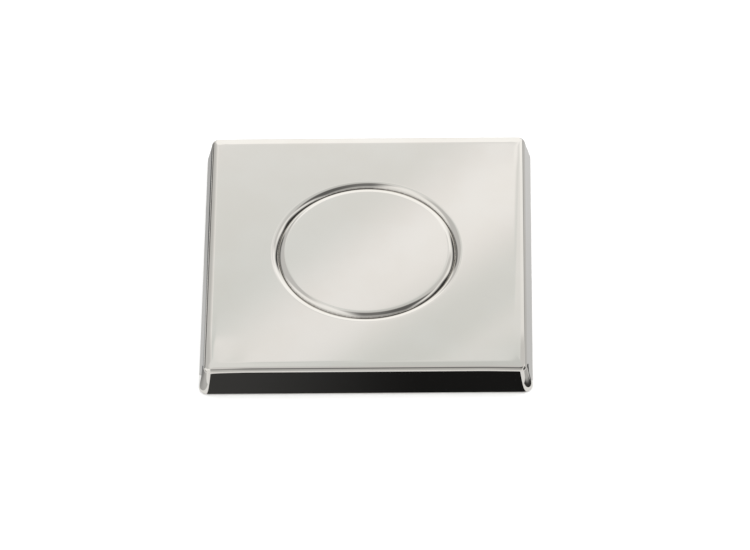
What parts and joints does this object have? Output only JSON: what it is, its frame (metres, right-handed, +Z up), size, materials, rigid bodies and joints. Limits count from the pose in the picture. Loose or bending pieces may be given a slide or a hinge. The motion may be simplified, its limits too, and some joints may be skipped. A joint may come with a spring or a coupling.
{
  "type": "hand blotter",
  "caption": "Flat square hand blotter: polished cover with a flush round press disc that pushes a paper-covered felt pad off its magnets.",
  "frame": {"origin": "centre of the footprint, on the face of the blotting paper that the blotter stands on", "axes": "+Z up through the press disc, +X to the right and -Y to the front, along the square's sides"},
  "size_m": [0.1, 0.1, 0.0092],
  "materials": {
    "polished_nickel": "polished",
    "brass": "satin",
    "black_rubber": "matte",
    "zinc_steel": "satin",
    "screw_steel": "satin",
    "magnet": "satin",
    "cast_ballast": "matte",
    "spring_steel": "satin",
    "pin_steel": "polished",
    "felt": "matte",
    "blotting_paper": "matte"
  },
  "bodies": {
    "pad": {"pad_carrier": "zinc_steel", "carrier_dowels": "pin_steel", "felt_pad": "felt", "blotting_paper": "blotting_paper"},
    "plunger": {"press_disc": "polished_nickel", "ejector_plate": "zinc_steel", "ejector_screws": "screw_steel", "push_pins": "pin_steel"},
    "housing": {"cover": "polished_nickel", "cover_posts": "brass", "stop_ring": "black_rubber", "chassis_plate": "zinc_steel", "chassis_screws": "screw_steel", "guide_bushes": "brass", "magnets": "magnet", "grip_strips": "black_rubber", "ballast_left": "cast_ballast", "ballast_right": "cast_ballast", "ballast_screws": "screw_steel", "return_springs": "spring_steel"}
  },
  "joints": [
    {"name": "pad_release", "type": "slide", "parent": "pad", "child": "plunger", "axis": [0, 0, 1], "range_m": [0, 0.025]},
    {"name": "disc_press", "type": "slide", "parent": "plunger", "child": "housing", "axis": [0, 0, 1], "range_m": [0, 0.0012], "stiffness_N_per_m": 2000, "springref_m": -0.0015, "deforming": ["return_springs"]}
  ]
}
